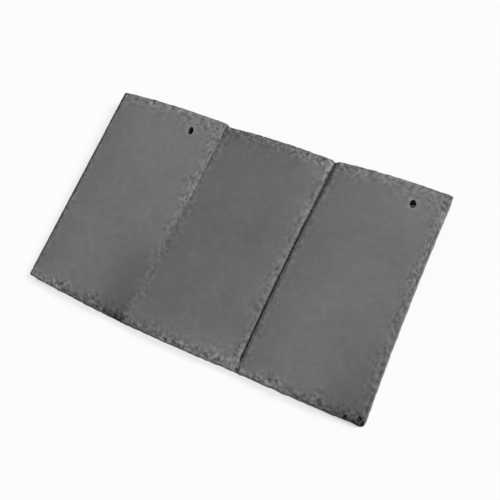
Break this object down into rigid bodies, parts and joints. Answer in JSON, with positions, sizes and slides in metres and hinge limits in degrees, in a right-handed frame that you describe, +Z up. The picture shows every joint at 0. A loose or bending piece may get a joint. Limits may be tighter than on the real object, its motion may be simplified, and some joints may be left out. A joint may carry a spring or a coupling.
{
  "type": "concrete roof tile",
  "caption": "Flat concrete roof tile, one casting whose face is moulded as cambered plain tiles with false joints; nail holes and hanging nibs at the head.",
  "frame": {"origin": "middle of the tile's footprint, on the floor it lies on", "axes": "+X across the width, left to right seen from the face with the head up; +Y from the nose to the head; +Z up, out of the weathered face"},
  "size_m": [0.4496, 0.2822, 0.0268],
  "materials": {
    "concrete": "matt, fine-grained cast concrete, through-coloured slate grey"
  },
  "bodies": {
    "root": {"roof_tile": "concrete"}
  },
  "joints": []
}
